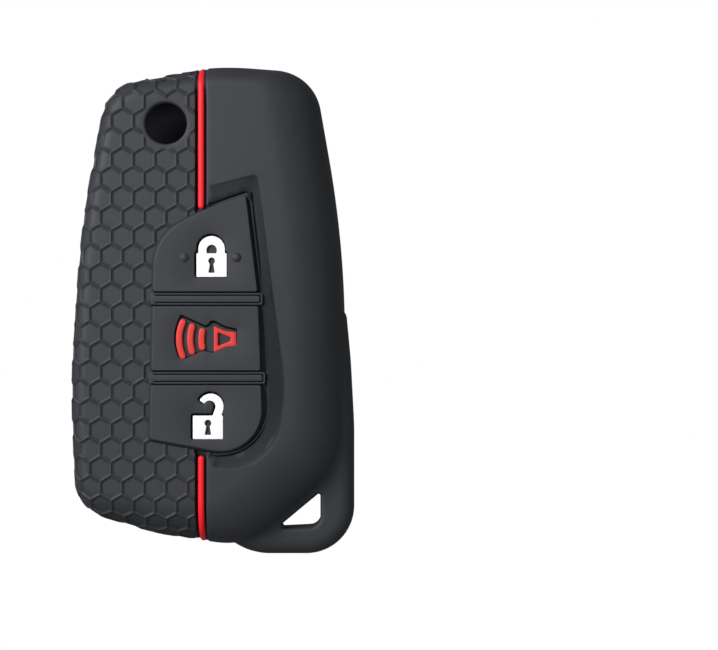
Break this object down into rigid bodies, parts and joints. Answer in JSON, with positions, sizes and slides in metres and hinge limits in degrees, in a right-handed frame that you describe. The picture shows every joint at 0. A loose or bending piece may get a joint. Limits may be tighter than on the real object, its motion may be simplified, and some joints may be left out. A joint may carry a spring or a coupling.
{
  "type": "key fob cover",
  "caption": "Soft cover for a flip car key, with raised buttons on thin webs, honeycomb grip, inlaid stripes, a blade slot and a key-ring tab.",
  "frame": {"origin": "middle of the footprint, key-ring tab included, at the level of the back face that it lies on", "axes": "+X towards the plain side that carries the tab, seen from the front; +Y towards the end with the release hole; +Z out of the button face"},
  "size_m": [0.0484, 0.084, 0.0201],
  "materials": {
    "silicone_black": "matt moulded silicone",
    "silicone_red": "satin silicone inlay",
    "silicone_coral": "matt silicone inlay",
    "silicone_white": "matt silicone inlay"
  },
  "bodies": {
    "root": {"sleeve": "silicone_black", "key_ring_tab": "silicone_black", "grip_front": "silicone_black", "grip_rear": "silicone_black", "lock_web": "silicone_black", "panic_web": "silicone_black", "unlock_web": "silicone_black", "upper_divider": "silicone_black", "lower_divider": "silicone_black", "pad_rim": "silicone_black", "upper_stripe": "silicone_red", "lower_stripe": "silicone_red"},
    "lock_key": {"lock_button": "silicone_black", "tactile_dots": "silicone_black", "lock_symbol": "silicone_white"},
    "panic_key": {"panic_button": "silicone_black", "horn_symbol": "silicone_coral", "sound_waves": "silicone_coral"},
    "unlock_key": {"unlock_button": "silicone_black", "unlock_symbol": "silicone_white"}
  },
  "joints": [
    {"name": "lock_press", "type": "slide", "parent": "root", "child": "lock_key", "axis": [0, 0, -1], "range_m": [0, 0.0005], "stiffness_N_per_m": 3000, "deforming": ["lock_web"]},
    {"name": "panic_press", "type": "slide", "parent": "root", "child": "panic_key", "axis": [0, 0, -1], "range_m": [0, 0.0005], "stiffness_N_per_m": 3000, "deforming": ["panic_web"]},
    {"name": "unlock_press", "type": "slide", "parent": "root", "child": "unlock_key", "axis": [0, 0, -1], "range_m": [0, 0.0005], "stiffness_N_per_m": 3000, "deforming": ["unlock_web"]}
  ]
}
